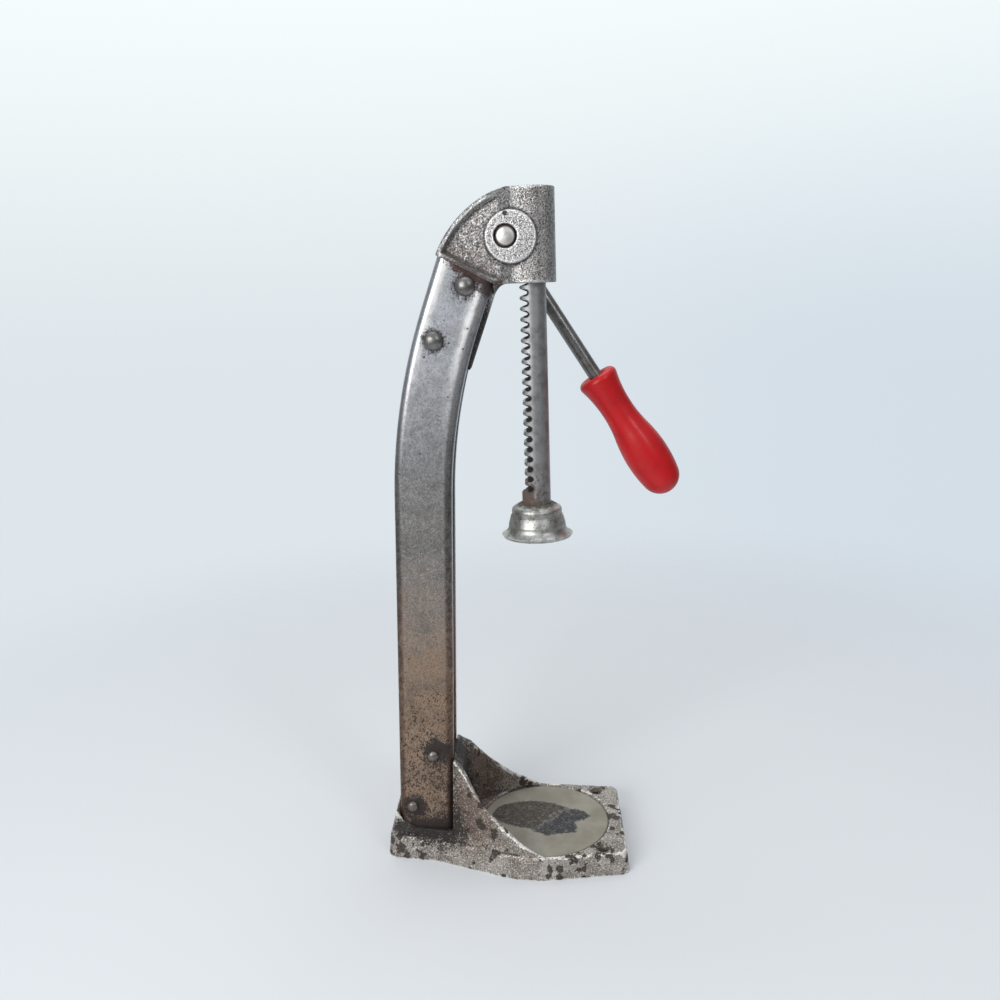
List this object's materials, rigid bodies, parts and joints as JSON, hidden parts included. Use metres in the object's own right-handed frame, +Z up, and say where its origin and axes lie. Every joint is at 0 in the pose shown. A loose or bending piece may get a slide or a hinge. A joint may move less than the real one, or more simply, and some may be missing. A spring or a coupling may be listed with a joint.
{
  "type": "bench bottle capper",
  "caption": "Bench bottle capper with a cast foot, a curved steel column and a cast head whose side lever cranks a rack plunger and crimping bell down on a bottle.",
  "frame": {"origin": "on the plunger's axis at the underside of the foot casting", "axes": "+X from the column towards the bottle seat's free side, +Y towards the lever's side, +Z up along the plunger"},
  "size_m": [0.2014, 0.0973, 0.4288],
  "materials": {
    "cast_foot": "bare and worn, pitted with rust",
    "cast_head": "bare, hammered skin",
    "channel_steel": "worn bright, brown towards the foot",
    "rivet_steel": "dull, domed",
    "bearing_bronze": "plain turned",
    "rod_steel": "turned and cut",
    "bell_plate": "worn bright plating",
    "hub_steel": "turned",
    "grip_red": "glossy",
    "pad_lino": "matt, worn through in one place"
  },
  "bodies": {
    "frame": {"base_casting": "cast_foot", "seat_pad": "pad_lino", "column": "channel_steel", "head_casting": "cast_head", "base_rivet_lower": "rivet_steel", "base_rivet_upper": "rivet_steel", "head_rivet_lower": "rivet_steel", "head_rivet_upper": "rivet_steel", "near_bush": "bearing_bronze", "far_bush": "bearing_bronze"},
    "plunger": {"rack_rod": "rod_steel", "crimping_bell": "bell_plate", "bell_washer": "hub_steel", "bell_screw": "hub_steel"},
    "lever": {"pinion_shaft": "rod_steel", "thrust_washer": "bearing_bronze", "lever_hub": "hub_steel", "hub_pin": "rivet_steel", "lever_rod": "hub_steel", "lever_nut": "hub_steel", "lever_handle": "grip_red"}
  },
  "joints": [
    {"name": "lever_turn", "type": "hinge", "parent": "frame", "child": "lever", "pos_m": [-0.0141, 0.035, 0.401], "axis": [0, 1, 0], "range_deg": [-959.7, 0]},
    {"name": "plunger_slide", "type": "slide", "parent": "frame", "child": "plunger", "axis": [0, 0, 1], "range_m": [0, 0.134]}
  ],
  "couplings": [
    {"joint": "plunger_slide", "follows": "lever_turn", "m_per_rad": -0.008}
  ]
}
